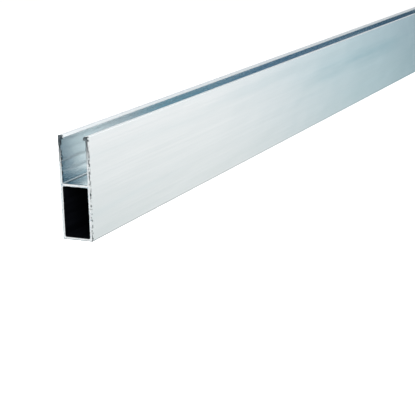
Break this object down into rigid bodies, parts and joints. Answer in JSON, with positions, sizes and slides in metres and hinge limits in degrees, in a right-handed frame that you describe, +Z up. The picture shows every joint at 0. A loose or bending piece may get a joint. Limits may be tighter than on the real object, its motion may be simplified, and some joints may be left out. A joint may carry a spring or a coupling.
{
  "type": "aluminium extrusion profile",
  "caption": "Straight bar of extruded aluminium: a closed rectangular chamber below an open channel, whose rims turn inward as hook lips that hold a panel edge or a gasket.",
  "frame": {"origin": "middle of the base, half way along the bar", "axes": "+X along the bar, +Y across its width, +Z up out of the open channel"},
  "size_m": [1, 0.02, 0.063],
  "materials": {
    "mill_aluminium": "bare mill finish with fine lengthwise die lines; saw-cut ends"
  },
  "bodies": {
    "root": {"profile_bar": "mill_aluminium"}
  },
  "joints": []
}
